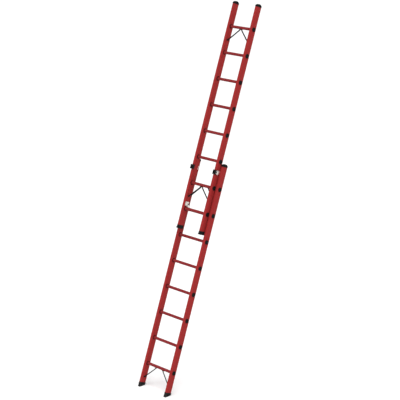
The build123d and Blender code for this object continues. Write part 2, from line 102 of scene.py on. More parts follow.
MID_Y = {section: middle(rung_box[section, 1]).y for section in SECTIONS}
OUTER = {section: stile_box[section, "right"][1].x for section in SECTIONS}
INNER = {section: stile_box[section, "right"][0].x for section in SECTIONS}
RUNG_R = (rung_box["base", 1][1].z - rung_box["base", 1][0].z) / 2
PITCH = middle(rung_box["base", 2]).z - middle(rung_box["base", 1]).z
print("pitch", round(PITCH, 4), "rung radius", round(RUNG_R, 5), "outer faces", OUTER)

# %% [markdown]
# Every piece is started from a primitive and shaped in edit mode, as by hand. An operator acts
# on all that is selected, so a small set of helpers clears the selection, picks faces or edges
# by their place or direction, and comes back to object mode.

# %% Modelling helpers
def activate(piece):
    """Selects one object alone and makes it active."""
    bpy.ops.object.select_all(action="DESELECT")
    piece.select_set(True)
    bpy.context.view_layer.objects.active = piece


def apply_place(piece):
    """Puts the object's place into its mesh."""
    activate(piece)
    bpy.ops.object.transform_apply(location=True, rotation=True, scale=True)
    return piece


def block(name, low, high):
    """A box between two corners."""
    low, high = Vector(low), Vector(high)
    bpy.ops.object.select_all(action="DESELECT")
    bpy.ops.mesh.primitive_cube_add(size=1, location=(low + high) / 2)
    piece = bpy.context.active_object
    piece.name = name
    piece.scale = high - low
    return apply_place(piece)


def barrel(name, radius, start, end, sides=48):
    """A closed cylinder between two points."""
    start, end = Vector(start), Vector(end)
    run = end - start
    bpy.ops.object.select_all(action="DESELECT")
    bpy.ops.mesh.primitive_cylinder_add(vertices=sides, radius=radius, depth=run.length)
    piece = bpy.context.active_object
    piece.name = name
    piece.matrix_world = Matrix.Translation((start + end) / 2) @ run.to_track_quat("Z", "Y").to_matrix().to_4x4()
    return apply_place(piece)


def pick(piece, kind, test):
    """Enters edit mode with only the faces, edges or vertices that pass the test selected."""
    activate(piece)
    bpy.ops.object.mode_set(mode="EDIT")
    bpy.ops.mesh.select_mode(type={"face": "FACE", "edge": "EDGE", "vert": "VERT"}[kind])
    bpy.ops.mesh.select_all(action="DESELECT")
    mesh = bmesh.from_edit_mesh(piece.data)
    pool = {"face": mesh.faces, "edge": mesh.edges, "vert": mesh.verts}[kind]
    found = [item for item in pool if test(item)]
    for item in found:
        item.select_set(True)
    mesh.select_flush_mode()
    bmesh.update_edit_mesh(piece.data)
    return len(found)


def leave():
    """Back to object mode."""
    bpy.ops.object.mode_set(mode="OBJECT")


def facing(axis, sign=1, least=0.9):
    """A test for faces that look along an axis: 0, 1, 2 for X, Y, Z."""
    return lambda face: sign * face.normal[axis] > least


def along(axis):
    """A test for edges that run along an axis."""
    def test(edge):
        run = (edge.verts[1].co - edge.verts[0].co)
        return run.length > 1e-6 and abs(run.normalized()[axis]) > 0.99
    return test


def round_edges(piece, test, width, segments=4):
    """Bevels the edges that pass the test."""
    if pick(piece, "edge", test):
        bpy.ops.mesh.bevel(offset=width, segments=segments, profile=0.5, affect="EDGES")
    leave()
    return piece


def soften(piece, width, segments=3, angle=35):
    """A bevel modifier on every edge sharper than the angle, applied."""
    activate(piece)
    bevel = piece.modifiers.new("soft_edges", "BEVEL")
    bevel.width = width
    bevel.segments = segments
    bevel.limit_method = "ANGLE"
    bevel.angle_limit = radians(angle)
    bevel.harden_normals = False
    bpy.ops.object.modifier_apply(modifier=bevel.name)
    return piece


def combine(piece, tool, how="DIFFERENCE"):
    """A boolean of the piece with the tool, applied; the tool is used up."""
    activate(piece)
    cut = piece.modifiers.new("cut", "BOOLEAN")
    cut.operation = how
    cut.solver = "EXACT"
    cut.object = tool
    bpy.ops.object.modifier_apply(modifier=cut.name)
    bpy.data.objects.remove(tool)
    return piece


def joined(name, parts):
    """Several closed meshes as one object."""
    bpy.ops.object.select_all(action="DESELECT")
    for part in parts:
        part.select_set(True)
    bpy.context.view_layer.objects.active = parts[0]
    if len(parts) > 1:
        bpy.ops.object.join()
    parts[0].name = name
    return parts[0]


def copy_of(piece, name, move=(0, 0, 0)):
    """A copy with its own mesh, moved."""
    twin = piece.copy()
    twin.data = piece.data.copy()
    twin.name = name
    bpy.context.collection.objects.link(twin)
    twin.location = Vector(move)
    return apply_place(twin)


def flipped(piece, name):
    """The left-hand twin of a right-hand piece, with its faces turned outwards again."""
    twin = piece.copy()
    twin.data = piece.data.copy()
    twin.name = name
    bpy.context.collection.objects.link(twin)
    twin.scale.x = -1
    apply_place(twin)
    activate(twin)
    bpy.ops.object.mode_set(mode="EDIT")
    bpy.ops.mesh.select_all(action="SELECT")
    bpy.ops.mesh.normals_make_consistent(inside=False)
    leave()
    return twin


made = []


def fit(piece, material, body, slot, *nodes):
    """Leans a finished piece, gives it its finish, and lets it ride and stand for its nodes."""
    activate(piece)
    bpy.ops.object.mode_set(mode="EDIT")
    bpy.ops.mesh.select_all(action="SELECT")
    bpy.ops.mesh.remove_doubles(threshold=2e-6)
    leave()
    piece.data.transform(LEANED)
    bpy.ops.object.shade_smooth_by_angle(angle=radians(32))
    piece.data.materials.clear()
    piece.data.materials.append(material)
    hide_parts(*nodes)
    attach(piece, body)
    made.append(piece.name)
    return piece


print("helpers ready")

# %% [markdown]
# ## Finishes
# A pattern that follows the stiles has to be turned with them, so every material reads Object
# coordinates through a Mapping node that stands the ladder upright. Effects that several
# finishes share are node groups: long glass fibres, edge wear, fine scratches and mould grain.

# %% Node helpers and the shared groups
def wire(tree, source, target):
    """Links two sockets."""
    tree.links.new(source, target)


def new_group(name, inputs, outputs):
    """A shader node group with named number inputs and outputs; the first input is a vector."""
    tree = bpy.data.node_groups.new(name, "ShaderNodeTree")
    tree.interface.new_socket("Vector", in_out="INPUT", socket_type="NodeSocketVector")
    for label, value in inputs.items():
        socket = tree.interface.new_socket(label, in_out="INPUT", socket_type="NodeSocketFloat")
        socket.default_value = value
    for label in outputs:
        tree.interface.new_socket(label, in_out="OUTPUT", socket_type="NodeSocketFloat")
    return tree, tree.nodes.new("NodeGroupInput"), tree.nodes.new("NodeGroupOutput")


def noise(tree, vector, scale, detail=4.0, roughness=0.55):
    """A noise texture's node."""
    node = tree.nodes.new("ShaderNodeTexNoise")
    node.inputs["Scale"].default_value = scale
    node.inputs["Detail"].default_value = detail
    node.inputs["Roughness"].default_value = roughness
    wire(tree, vector, node.inputs["Vector"])
    return node


def stretch(tree, vector, scale, turn=(0, 0, 0)):
    """A Mapping node's output."""
    node = tree.nodes.new("ShaderNodeMapping")
    node.inputs["Scale"].default_value = scale
    node.inputs["Rotation"].default_value = turn
    wire(tree, vector, node.inputs["Vector"])
    return node.outputs["Vector"]


def remap(tree, value, low, high, to_low=0.0, to_high=1.0):
    """A clamped Map Range's output."""
    node = tree.nodes.new("ShaderNodeMapRange")
    node.interpolation_type = "SMOOTHSTEP"
    for label, number in zip(("From Min", "From Max", "To Min", "To Max"), (low, high, to_low, to_high)):
        node.inputs[label].default_value = number
    wire(tree, value, node.inputs["Value"])
    return node.outputs["Result"]


def calc(tree, how, first, second):
    """A Math node's output; each operand is a socket or a number."""
    node = tree.nodes.new("ShaderNodeMath")
    node.operation = how
    node.use_clamp = how != "MULTIPLY_ADD"
    for index, operand in enumerate((first, second)):
        if isinstance(operand, (int, float)):
            node.inputs[index].default_value = operand
        else:
            wire(tree, operand, node.inputs[index])
    return node.outputs["Value"]


def build_fibre_group():
    """Long glass fibres along Z: fine threads, broad bands and scattered flecks."""
    tree, source, out = new_group("long_fibres", {"Fineness": 1.0}, ("Threads", "Bands", "Flecks"))
    scaled = tree.nodes.new("ShaderNodeVectorMath")
    scaled.operation = "SCALE"
    wire(tree, source.outputs["Vector"], scaled.inputs[0])
    wire(tree, source.outputs["Fineness"], scaled.inputs["Scale"])
    vector = scaled.outputs["Vector"]
    threads = noise(tree, stretch(tree, vector, (900, 900, 9)), 1.0, 5.0, 0.6)
    bands = noise(tree, stretch(tree, vector, (95, 95, 1.6)), 1.0, 3.0, 0.5)
    flecks = noise(tree, stretch(tree, vector, (420, 420, 60)), 1.0, 2.0, 0.5)
    wire(tree, remap(tree, threads.outputs["Fac"], 0.32, 0.68), out.inputs["Threads"])
    wire(tree, remap(tree, bands.outputs["Fac"], 0.35, 0.65), out.inputs["Bands"])
    wire(tree, remap(tree, flecks.outputs["Fac"], 0.62, 0.74), out.inputs["Flecks"])
    return tree


def build_wear_group():
    """Where corners are rubbed: convex edges, broken up by noise."""
    tree, source, out = new_group("edge_wear", {"Reach": 0.53}, ("Edge", "Hollow"))
    shape = tree.nodes.new("ShaderNodeNewGeometry")
    grit = noise(tree, source.outputs["Vector"], 140.0, 5.0, 0.65)
    shift = calc(tree, "MULTIPLY", grit.outputs["Fac"], 0.05)
    level = calc(tree, "ADD", shape.outputs["Pointiness"], shift)
    over = calc(tree, "SUBTRACT", level, source.outputs["Reach"])
    wire(tree, remap(tree, over, 0.0, 0.05), out.inputs["Edge"])
    under = calc(tree, "SUBTRACT", 0.49, shape.outputs["Pointiness"])
    wire(tree, remap(tree, under, 0.0, 0.06), out.inputs["Hollow"])
    return tree


def build_scratch_group():
    """Fine scratches in two directions, and handling smudges."""
    tree, source, out = new_group("handling_marks", {}, ("Scratches", "Smudges"))
    vector = source.outputs["Vector"]
    lines = []
    for turn, scale in (((0.3, 0.2, 0.5), (1400, 60, 60)), ((-0.5, 0.4, -0.3), (60, 60, 1500))):
        lines.append(noise(tree, stretch(tree, vector, scale, turn), 1.0, 2.0, 0.4).outputs["Fac"])
    either = calc(tree, "MAXIMUM", lines[0], lines[1])
    wire(tree, remap(tree, either, 0.70, 0.78), out.inputs["Scratches"])
    smudge = noise(tree, vector, 22.0, 6.0, 0.6)
    wire(tree, remap(tree, smudge.outputs["Fac"], 0.4, 0.75), out.inputs["Smudges"])
    return tree


def build_grain_group():
    """The fine leather-like grain of a mould, and dust that settles in it."""
    tree, source, out = new_group("mould_grain", {"Scale": 1500.0}, ("Grain", "Dust"))
    cells = tree.nodes.new("ShaderNodeTexVoronoi")
    cells.feature = "SMOOTH_F1"
    wire(tree, source.outputs["Vector"], cells.inputs["Vector"])
    wire(tree, source.outputs["Scale"], cells.inputs["Scale"])
    wire(tree, remap(tree, cells.outputs["Distance"], 0.1, 0.75), out.inputs["Grain"])
    dust = noise(tree, source.outputs["Vector"], 75.0, 6.0, 0.65)
    wire(tree, remap(tree, dust.outputs["Fac"], 0.5, 0.72), out.inputs["Dust"])
    return tree


GROUPS = {"fibres": build_fibre_group(), "wear": build_wear_group(),
          "marks": build_scratch_group(), "grain": build_grain_group()}
print("groups", sorted(GROUPS))


# %% Material helpers
def new_finish(name):
    """A material with one Principled shader; returns (material, tree, shader, upright vector)."""
    material = bpy.data.materials.new(name)
    material.use_nodes = True
    tree = material.node_tree
    shader = tree.nodes["Principled BSDF"]
    place = tree.nodes.new("ShaderNodeTexCoord")
    vector = stretch(tree, place.outputs["Object"], (1, 1, 1), (LEAN, 0, 0))
    return material, tree, shader, vector


def use_group(tree, key, vector, **values):
    """Places a shared group in a material."""
    node = tree.nodes.new("ShaderNodeGroup")
    node.node_tree = GROUPS[key]
    wire(tree, vector, node.inputs["Vector"])
    for label, number in values.items():
        node.inputs[label].default_value = number
    return node.outputs


def blend_colour(tree, mask, first, second):
    """Mixes two colours by a mask; each is a socket or an RGB tuple."""
    node = tree.nodes.new("ShaderNodeMix")
    node.data_type = "RGBA"
    wire(tree, mask, node.inputs["Factor"])
    for label, colour in (("A", first), ("B", second)):
        socket = [s for s in node.inputs if s.name == label and s.type == "RGBA"][0]
        if isinstance(colour, tuple):
            socket.default_value = (*colour, 1)
        else:
            wire(tree, colour, socket)
    return [s for s in node.outputs if s.type == "RGBA"][0]


def raise_surface(tree, shader, *layers):
    """Stacks Bump nodes: each layer is (height socket, strength, distance in metres)."""
    below = None
    for height, strength, distance in layers:
        bump = tree.nodes.new("ShaderNodeBump")
        bump.inputs["Strength"].default_value = strength
        bump.inputs["Distance"].default_value = distance
        wire(tree, height, bump.inputs["Height"])
        if below:
            wire(tree, below, bump.inputs["Normal"])
        below = bump.outputs["Normal"]
    wire(tree, below, shader.inputs["Normal"])


# %% [markdown]
# Pultruded glass-fibre is drawn through a die, so its threads run the whole length, just under
# a thin clear skin. The finish is a red that drifts in long bands, with fine threads that lift
# the surface a few hundredths of a millimetre, duller and paler where the corners are rubbed.

# %% Red glass-fibre for the stiles and the rungs
def fibreglass(name, deep, bright, worn, fineness, turn=(0, 0, 0)):
    """Pultruded profile; turn lays the threads along another axis."""
    material, tree, shader, upright = new_finish(name)
    vector = stretch(tree, upright, (1, 1, 1), turn)
    fibres = use_group(tree, "fibres", vector, Fineness=fineness)
    wear = use_group(tree, "wear", upright)
    marks = use_group(tree, "marks", upright)
    colour = blend_colour(tree, fibres["Bands"], deep, bright)
    faint = calc(tree, "MULTIPLY", fibres["Threads"], 0.35)
    colour = blend_colour(tree, faint, colour, deep)
    pale = calc(tree, "MULTIPLY", fibres["Flecks"], 0.22)
    colour = blend_colour(tree, pale, colour, worn)
    rubbed = calc(tree, "MULTIPLY", wear["Edge"], 0.45)
    colour = blend_colour(tree, rubbed, colour, worn)
    dull = calc(tree, "MULTIPLY", marks["Smudges"], 0.12)
    colour = blend_colour(tree, dull, colour, deep)
    wire(tree, colour, shader.inputs["Base Color"])
    rough = calc(tree, "MULTIPLY", fibres["Threads"], 0.14)
    rough = calc(tree, "ADD", rough, 0.30)
    rough = calc(tree, "ADD", rough, calc(tree, "MULTIPLY", wear["Edge"], 0.2))
    rough = calc(tree, "ADD", rough, calc(tree, "MULTIPLY", marks["Smudges"], 0.12))
    wire(tree, rough, shader.inputs["Roughness"])
    shader.inputs["Specular IOR Level"].default_value = 0.05
    shader.inputs["Coat Roughness"].default_value = 0.25
    wire(tree, remap(tree, fibres["Bands"], 0.0, 1.0, 0.05, 0.02), shader.inputs["Coat Weight"])
    raise_surface(tree, shader, (fibres["Bands"], 0.25, 0.0004), (fibres["Threads"], 0.35, 0.00012),
                  (marks["Scratches"], 0.2, 0.00006))
    return material


RED_STILE = fibreglass("red_fibreglass_stile", (0.222, 0.0065, 0.0085), (0.31, 0.0095, 0.0115),
                       (0.39, 0.045, 0.042), 1.0)
# The rungs get a darker copy of the stile's red: painted shade for their shaded undersides.
RED_RUNG = fibreglass("red_fibreglass_rung", (0.155, 0.006, 0.009), (0.225, 0.010, 0.013),
                      (0.32, 0.05, 0.05), 1.3, (0, pi / 2, 0))
print("fibreglass", RED_STILE.name, RED_RUNG.name)

# %% [markdown]
# Caps, plugs, collars and guide blocks are moulded plastic. A mould leaves a very fine grain,
# corners polish with handling, and pale dust stays in the hollows. Rubber is the same idea with
# a coarser grain and no shine.

# %% Moulded plastic and rubber
def moulded(name, colour, worn, dusty, rough, grain_scale, grain_height, dust_share=0.25):
    """A moulded part with grain, rubbed corners and settled dust."""
    material, tree, shader, upright = new_finish(name)
    grain = use_group(tree, "grain", upright, Scale=grain_scale)
    wear = use_group(tree, "wear", upright)
    marks = use_group(tree, "marks", upright)
    shade = blend_colour(tree, calc(tree, "MULTIPLY", wear["Edge"], 0.55), colour, worn)
    caught = calc(tree, "MAXIMUM", calc(tree, "MULTIPLY", grain["Dust"], dust_share),
                  calc(tree, "MULTIPLY", wear["Hollow"], dust_share))
    shade = blend_colour(tree, caught, shade, dusty)
    shade = blend_colour(tree, calc(tree, "MULTIPLY", marks["Scratches"], 0.35), shade, worn)
    wire(tree, shade, shader.inputs["Base Color"])
    level = calc(tree, "ADD", calc(tree, "MULTIPLY", grain["Grain"], 0.12), rough)
    level = calc(tree, "ADD", level, calc(tree, "MULTIPLY", caught, 0.4))
    level = calc(tree, "SUBTRACT", level, calc(tree, "MULTIPLY", wear["Edge"], 0.12))
    wire(tree, level, shader.inputs["Roughness"])
    shader.inputs["Specular IOR Level"].default_value = 0.045
    raise_surface(tree, shader, (grain["Grain"], 0.5, grain_height), (marks["Scratches"], 0.25, 0.00005))
    return material


BLACK_PLASTIC = moulded("black_moulded_plastic", (0.0055, 0.0055, 0.006), (0.022, 0.022, 0.023),
                        (0.055, 0.05, 0.045), 0.38, 1500.0, 0.00005, 0.2)
# The black of the hook grips stands where the hook's shadow falls: painted shadow.
SHADOW_GRIP_BLACK = moulded("black_grip_painted_shadow", (0.014, 0.014, 0.014), (0.05, 0.05, 0.05),
                       (0.10, 0.09, 0.08), 0.48, 900.0, 0.00012)
DARK_RED = moulded("dark_red_collar_plastic", (0.055, 0.0045, 0.006), (0.13, 0.024, 0.024),
                   (0.14, 0.06, 0.05), 0.38, 1300.0, 0.00005, 0.15)
RUBBER = moulded("black_foot_rubber", (0.009, 0.009, 0.009), (0.03, 0.029, 0.028),
                 (0.085, 0.078, 0.07), 0.62, 700.0, 0.00014, 0.3)
print("moulded", BLACK_PLASTIC.name, DARK_RED.name, RUBBER.name)

# %% [markdown]
# The metal is of three kinds: bright zinc on the hooks and straps, with faint crystal patches
# and rolling lines; zinc-plated fasteners; and struts in a black powder coat that has the
# slight orange peel of all powder coats and is chipped to grey at its corners.

# %% Metals
def bright_metal(name, base, dark, rough, line_scale, hollow_shade=(0.12, 0.11, 0.10)):
    """Plated sheet: crystal patches, rolling lines, scratches, and painted shade that darkens the hollows."""
    material, tree, shader, upright = new_finish(name)
    wear = use_group(tree, "wear", upright)
    marks = use_group(tree, "marks", upright)
    crystals = tree.nodes.new("ShaderNodeTexVoronoi")
    crystals.inputs["Scale"].default_value = 160.0
    wire(tree, upright, crystals.inputs["Vector"])
    patch = tree.nodes.new("ShaderNodeRGBToBW")
    wire(tree, crystals.outputs["Color"], patch.inputs["Color"])
    lines = noise(tree, stretch(tree, upright, line_scale), 1.0, 3.0, 0.5)
    shade = blend_colour(tree, calc(tree, "MULTIPLY", patch.outputs["Val"], 0.35), base, dark)
    shade = blend_colour(tree, calc(tree, "MULTIPLY", marks["Smudges"], 0.3), shade, dark)
    # Painted shade: the hollows are mixed towards a dark grey, as if in shadow.
    shade = blend_colour(tree, calc(tree, "MULTIPLY", wear["Hollow"], 0.6), shade, hollow_shade)
    wire(tree, shade, shader.inputs["Base Color"])
    level = calc(tree, "ADD", calc(tree, "MULTIPLY", lines.outputs["Fac"], 0.18), rough)
    level = calc(tree, "ADD", level, calc(tree, "MULTIPLY", patch.outputs["Val"], 0.08))
    level = calc(tree, "ADD", level, calc(tree, "MULTIPLY", marks["Smudges"], 0.1))
    wire(tree, level, shader.inputs["Roughness"])
    shader.inputs["Metallic"].default_value = 1.0
    raise_surface(tree, shader, (lines.outputs["Fac"], 0.3, 0.00004), (marks["Scratches"], 0.3, 0.00005))
    return material


def powder_coat(name):
    """Black powder coat with orange peel, chipped at the corners."""
    material, tree, shader, upright = new_finish(name)
    wear = use_group(tree, "wear", upright, Reach=0.64)
    marks = use_group(tree, "marks", upright)
    peel = noise(tree, upright, 900.0, 2.0, 0.5)
    spots = remap(tree, noise(tree, upright, 260.0).outputs["Fac"], 0.56, 0.62)
    chips = calc(tree, "MULTIPLY", wear["Edge"], spots)
    smudged = calc(tree, "MULTIPLY", marks["Smudges"], 0.3)
    shade = blend_colour(tree, smudged, (0.006, 0.0063, 0.0066), (0.017, 0.017, 0.017))
    shade = blend_colour(tree, chips, shade, (0.16, 0.155, 0.15))
    wire(tree, shade, shader.inputs["Base Color"])
    wire(tree, chips, shader.inputs["Metallic"])
    shader.inputs["Specular IOR Level"].default_value = 0.04
    level = calc(tree, "ADD", calc(tree, "MULTIPLY", marks["Smudges"], 0.2), 0.36)
    wire(tree, level, shader.inputs["Roughness"])
    raise_surface(tree, shader, (peel.outputs["Fac"], 0.35, 0.00008))
    return material


BRIGHT = bright_metal("bright_zinc_sheet", (0.83, 0.81, 0.76), (0.64, 0.62, 0.57), 0.28, (60, 60, 1400))
PLATED = bright_metal("plated_fastener_steel", (0.68, 0.68, 0.66), (0.5, 0.5, 0.5), 0.24, (900, 900, 900))
# The last colour is the painted shade that darkens the hollows of the blackened steel.
BLACKENED = bright_metal("blackened_fastener_steel", (0.03, 0.03, 0.031), (0.014, 0.014, 0.015), 0.42,
                         (900, 900, 900), (0.02, 0.019, 0.018))
COATED = powder_coat("black_powder_coat")
print("metals", BRIGHT.name, PLATED.name, COATED.name)

# %% [markdown]
# ## Stiles
# A stile is a hollow box section with round corners, open at both ends and drilled for every
# rung. A box is rounded along its length, its two ends are removed, Solidify gives it a wall,
# and one set of round cutters makes the holes. The left stile is the right one, mirrored.

# %% Stiles
WALL = 3.2 * MM
CORNER = 4.5 * MM
HOLE_ROOM = 0.1 * MM


def make_stile(section):
    """The right-hand stile of a section."""
    low, high = stile_box[section, "right"]
    tube = block(f"{section}_right_stile", low, high)
    round_edges(tube, along(2), CORNER, 8)
    pick(tube, "face", lambda face: abs(face.normal.z) > 0.9)
    bpy.ops.mesh.delete(type="ONLY_FACE")
    leave()
    activate(tube)
    wall = tube.modifiers.new("wall", "SOLIDIFY")
    wall.thickness = WALL
    wall.offset = -1
    wall.use_even_offset = True
    bpy.ops.object.modifier_apply(modifier=wall.name)
    cutters = []
    for level in range(1, RUNGS + 1):
        centre = middle(rung_box[section, level])
        start = (low.x - WALL, centre.y, centre.z)
        cutters.append(barrel("cutter", RUNG_R + HOLE_ROOM, start, (high.x + WALL, centre.y, centre.z)))
    return combine(tube, joined("cutters", cutters))


for section in SECTIONS:
    right = make_stile(section)
    left = flipped(right, f"{section}_left_stile")
    for piece, side in ((right, "right"), (left, "left")):
        fit(piece, RED_STILE, section, "stile_fibreglass", f"{section}_stile_{side}")
    print(section, "stiles", len(right.data.polygons), "faces each")

# %% [markdown]
# ## Rungs
# A rung is a tube with shallow flutes, so that a wet boot grips. A cylinder gets six vertices
# for each flute, and the two in every valley are drawn in towards the axis. One rung is made
# for each section, and the others are copies.

# %% Rungs
FLUTES = 20
STEPS_PER_FLUTE = 6
FLUTE_DEPTH = 0.75 * MM
RUNG_WALL = 2.6 * MM


def make_rung(section):
    """The lowest rung of a section."""
    low, high = rung_box[section, 1]
    centre = middle((low, high))
    bar = barrel(f"{section}_fluted_rung_1", RUNG_R, (low.x, centre.y, centre.z),
                 (high.x, centre.y, centre.z), FLUTES * STEPS_PER_FLUTE)

    def valley(vertex):
        turn = atan2(vertex.co.z - centre.z, vertex.co.y - centre.y) / (2 * pi) * FLUTES
        return abs((turn + 0.25) % 1.0 - 0.5) < 0.9 / STEPS_PER_FLUTE

    pick(bar, "vert", valley)
    squeeze = 1 - FLUTE_DEPTH / RUNG_R
    bpy.ops.transform.resize(value=(1, squeeze, squeeze), center_override=centre)
    leave()
    for sign in (-1, 1):
        pick(bar, "face", facing(0, sign))
        bpy.ops.mesh.inset(thickness=RUNG_WALL)
        bpy.ops.transform.translate(value=(-sign * 15 * MM, 0, 0))
        leave()
    return bar


for section in SECTIONS:
    first = make_rung(section)
    start = middle(rung_box[section, 1])
    rungs = [first]
    for level in range(2, RUNGS + 1):
        move = middle(rung_box[section, level]) - start
        rungs.append(copy_of(first, f"{section}_fluted_rung_{level}", move))
    for level, piece in enumerate(rungs, 1):
        fit(piece, RED_RUNG, section, "rung_fibreglass", f"{section}_rung_{level}")
    print(section, "rungs", len(rungs), "with", len(first.data.polygons), "faces each")

# %% [markdown]
# ## Collars and plugs
# Where a rung enters a stile it wears a dark collar, and where it leaves, a black plug closes
# it. Both are turned shapes: a disc whose faces are inset and pushed in steps, as on a lathe.

# %% Collars and plugs
collar_box = upright_box("base_rung_collars", True)
plug_box = upright_box("base_rung_plugs", True)
COLLAR_R = (collar_box[1].y - collar_box[0].y) / 2
COLLAR_T = collar_box[1].x - collar_box[0].x
PLUG_R = (plug_box[1].y - plug_box[0].y) / 2
PLUG_T = plug_box[1].x - OUTER["base"]


def collar(section, level):
    """A right-hand collar: flange, sloping shoulder and a bore for the rung."""
    centre = middle(rung_box[section, level])
    face = INNER[section]
    ring = barrel("collar", COLLAR_R, (face, centre.y, centre.z), (face - COLLAR_T * 0.55, centre.y, centre.z), 40)
    pick(ring, "face", facing(0, -1))
    bpy.ops.mesh.inset(thickness=3.0 * MM)
    bpy.ops.mesh.extrude_region_move(TRANSFORM_OT_translate={"value": (-COLLAR_T * 0.45, 0, 0)})
    bpy.ops.transform.resize(value=(1, 0.94, 0.94), center_override=centre)
    leave()
    bore = barrel("bore", RUNG_R + HOLE_ROOM, (face + COLLAR_T, centre.y, centre.z),
                  (face - 2 * COLLAR_T, centre.y, centre.z), 40)
    return soften(combine(ring, bore), 0.5 * MM, 2)


def plug(section, level):
    """A right-hand plug: rounded rim, dished face and a small gate mark in the middle."""
    centre = middle(rung_box[section, level])
    face = OUTER[section]
    cap = barrel("plug", PLUG_R, (face, centre.y, centre.z), (face + PLUG_T, centre.y, centre.z), 40)
    pick(cap, "face", facing(0, 1))
    bpy.ops.mesh.inset(thickness=3.2 * MM)
    bpy.ops.mesh.inset(thickness=1.0 * MM)
    bpy.ops.transform.translate(value=(-1.1 * MM, 0, 0))
    bpy.ops.mesh.inset(thickness=10.0 * MM)
    bpy.ops.transform.translate(value=(-0.4 * MM, 0, 0))
    bpy.ops.mesh.inset(thickness=3.5 * MM)
    bpy.ops.mesh.inset(thickness=0.6 * MM)
    bpy.ops.transform.translate(value=(0.9 * MM, 0, 0))
    leave()
    pick(cap, "face", facing(0, -1))
    bpy.ops.mesh.inset(thickness=PLUG_R - RUNG_R + RUNG_WALL + HOLE_ROOM)
    bpy.ops.mesh.extrude_region_move(TRANSFORM_OT_translate={"value": (-12 * MM, 0, 0)})
    leave()
    return soften(cap, 0.45 * MM, 2)


def all_along(section, maker, name):
    """One turned piece beside every rung, on both sides, as one object."""
    first = maker(section, 1)
    twin = flipped(first, "twin")
    start = middle(rung_box[section, 1])
    parts = [first, twin]
    for level in range(2, RUNGS + 1):
        move = middle(rung_box[section, level]) - start
        parts += [copy_of(first, "copy", move), copy_of(twin, "copy", move)]
    return joined(name, parts)


for section in SECTIONS:
    rings = all_along(section, collar, f"{section}_collar_rings")
    fit(rings, DARK_RED, section, "collar_plastic", f"{section}_rung_collars")
    caps = all_along(section, plug, f"{section}_end_plugs")
    fit(caps, BLACK_PLASTIC, section, "black_plastic", f"{section}_rung_plugs")
    print(section, "collars", len(rings.data.polygons), "faces, plugs", len(caps.data.polygons))

# %% [markdown]
# ## Caps
# The top of each stile wears a domed cap with a skirt. The lower ends of the fly have deeper
# caps with a lip in front. The skirt is a real pocket: the lower face is inset and pushed up.

# %% Caps
CAP_WALL = 1.85 * MM
CAP_CORNER = 6.5 * MM
SKIRT = 12.0 * MM
CROWN_R = 46.5 * MM


def groove_round(piece, heights, depth):
    """Cuts a shallow groove round an upright piece between two heights."""
    activate(piece)
    for height in heights:
        bpy.ops.object.mode_set(mode="EDIT")
        bpy.ops.mesh.select_all(action="SELECT")
        bpy.ops.mesh.bisect(plane_co=(0, 0, height), plane_no=(0, 0, 1))
        leave()
    low, high = heights
    pick(piece, "face", lambda face: low < face.calc_center_median().z < high and abs(face.normal.z) < 0.5)
    bpy.ops.mesh.inset(thickness=(high - low) * 0.2, use_boundary=True)
    bpy.ops.transform.shrink_fatten(value=-depth)
    leave()
    return piece


def across(radius, y, z, low, high, name="disc", sides=48):
    """A disc whose axis is X, between two x values."""
    return barrel(name, radius, (low, y, z), (high, y, z), sides)


def top_cap(section):
    """The right-hand top cap of a section: crowned front to back, rounded along its sides."""
    low, high = upright_box(f"{section}_top_cap_right")
    stile_top = stile_box[section, "right"][1].z
    skirt_end = stile_top - SKIRT
    cap = block(f"{section}_right_top_cap", (low.x, low.y, skirt_end), high)
    round_edges(cap, along(2), CAP_CORNER, 8)
    crown = across(CROWN_R, (low.y + high.y) / 2, high.z - CROWN_R, low.x, high.x, "crown", 160)
    rims = (low.x, high.x)
    round_edges(crown, lambda e: any(all(abs(v.co.x - rim) < 1e-6 for v in e.verts) for rim in rims),
                6.5 * MM, 7)
    cap = combine(cap, crown, "INTERSECT")
    pick(cap, "face", lambda f: f.normal.z < -0.9 and f.calc_center_median().z < skirt_end + 0.1 * MM)
    bpy.ops.mesh.inset(thickness=CAP_WALL)
    bpy.ops.transform.translate(value=(0, 0, SKIRT))
    leave()
    groove_round(cap, (stile_top - 3.0 * MM, stile_top - 1.4 * MM), 0.5 * MM)
    return soften(cap, 0.5 * MM, 2, 50)


def bottom_cap():
    """The fly's right-hand lower cap, with its lip."""
    low, high = upright_box("fly_bottom_cap_right")
    stile_end = stile_box["fly", "right"][0].z
    front = stile_box["fly", "right"][0].y - 2.0 * MM
    cap = block("fly_right_bottom_cap", (low.x, front, low.z), (high.x, high.y, stile_end + SKIRT))
    round_edges(cap, along(2), CAP_CORNER, 8)
    bottom = low.z
    round_edges(cap, lambda edge: all(abs(v.co.z - bottom) < 1e-6 for v in edge.verts), 3.0 * MM, 4)
    pick(cap, "face", facing(2, 1))
    bpy.ops.mesh.inset(thickness=CAP_WALL)
    bpy.ops.transform.translate(value=(0, 0, -SKIRT))
    leave()
    lip = block("lip", (low.x + 3.4 * MM, low.y, low.z + 5.2 * MM),
                (high.x - 3.4 * MM, front + 10 * MM, low.z + 15.6 * MM))
    round_edges(lip, along(0), 3.5 * MM, 5)
    cap = combine(cap, lip, "UNION")
    groove_round(cap, (stile_end - 0.4 * MM, stile_end + 1.4 * MM), 0.5 * MM)
    return soften(cap, 0.6 * MM, 2, 50)


for section in SECTIONS:
    right = top_cap(section)
    left = flipped(right, f"{section}_left_top_cap")
    fit(right, BLACK_PLASTIC, section, "black_plastic", f"{section}_top_cap_right")
    fit(left, BLACK_PLASTIC, section, "black_plastic", f"{section}_top_cap_left")
right = bottom_cap()
left = flipped(right, "fly_left_bottom_cap")
fit(right, BLACK_PLASTIC, "fly", "black_plastic", "fly_bottom_cap_right")
fit(left, BLACK_PLASTIC, "fly", "black_plastic", "fly_bottom_cap_left")
print("caps", len(right.data.polygons), "faces on a bottom cap")

# %% [markdown]
# ## Feet
# Each foot is a rubber shoe that is cut off level for the leaning ladder. In the upright frame
# the floor is a sloping plane, so a bisect along it makes the sole, and thin boxes laid in the
# same plane cut the treads. Ribs round the sides stiffen the rubber.

